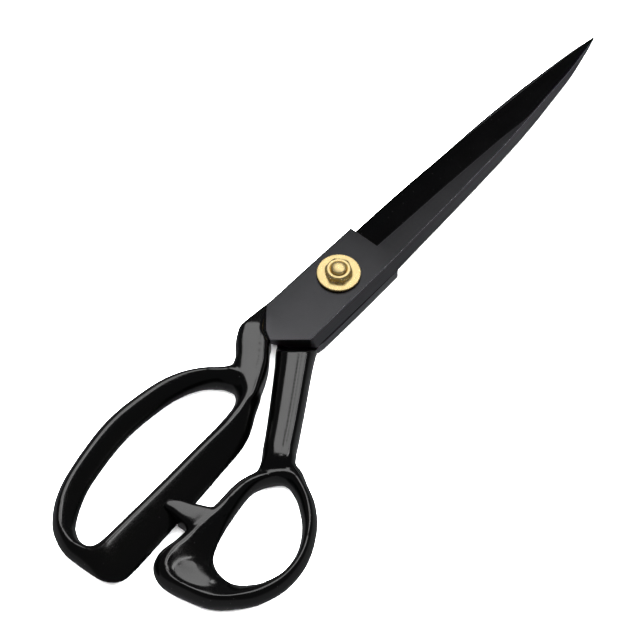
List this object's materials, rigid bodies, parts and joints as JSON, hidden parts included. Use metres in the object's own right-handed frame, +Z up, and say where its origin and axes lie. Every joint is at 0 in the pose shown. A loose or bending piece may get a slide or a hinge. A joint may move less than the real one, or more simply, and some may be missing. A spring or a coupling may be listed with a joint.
{
  "type": "fabric shears",
  "caption": "Bent-handle tailor's shears with black steel blades, moulded finger and thumb bows, a stop lug and a brass nut and washer at the pivot.",
  "frame": {"origin": "on the pivot axis, at the flat outer face of the pivot bolt's head, where the shears rest on a table", "axes": "+X along the closed blades to the tips, +Y towards the finger bow, +Z up along the pivot towards the nut"},
  "size_m": [0.2623, 0.0848, 0.0154],
  "materials": {
    "blade_steel": "black-coated steel, satin at the pivot and glossy on the ground bevel",
    "handle_enamel": "glossy black moulded coating",
    "brass": "polished and lightly turned",
    "washer_steel": "plain spring steel"
  },
  "bodies": {
    "thumb_half": {"rear_blade": "blade_steel", "thumb_handle": "handle_enamel", "pivot_bolt": "brass", "inner_washer": "washer_steel", "front_washer": "brass", "hex_nut": "brass"},
    "finger_half": {"front_blade": "blade_steel", "finger_handle": "handle_enamel"}
  },
  "joints": [
    {"name": "blade_pivot", "type": "hinge", "parent": "thumb_half", "child": "finger_half", "pos_m": [0, 0, 0.0065], "axis": [0, 0, -1], "range_deg": [0, 65]}
  ]
}
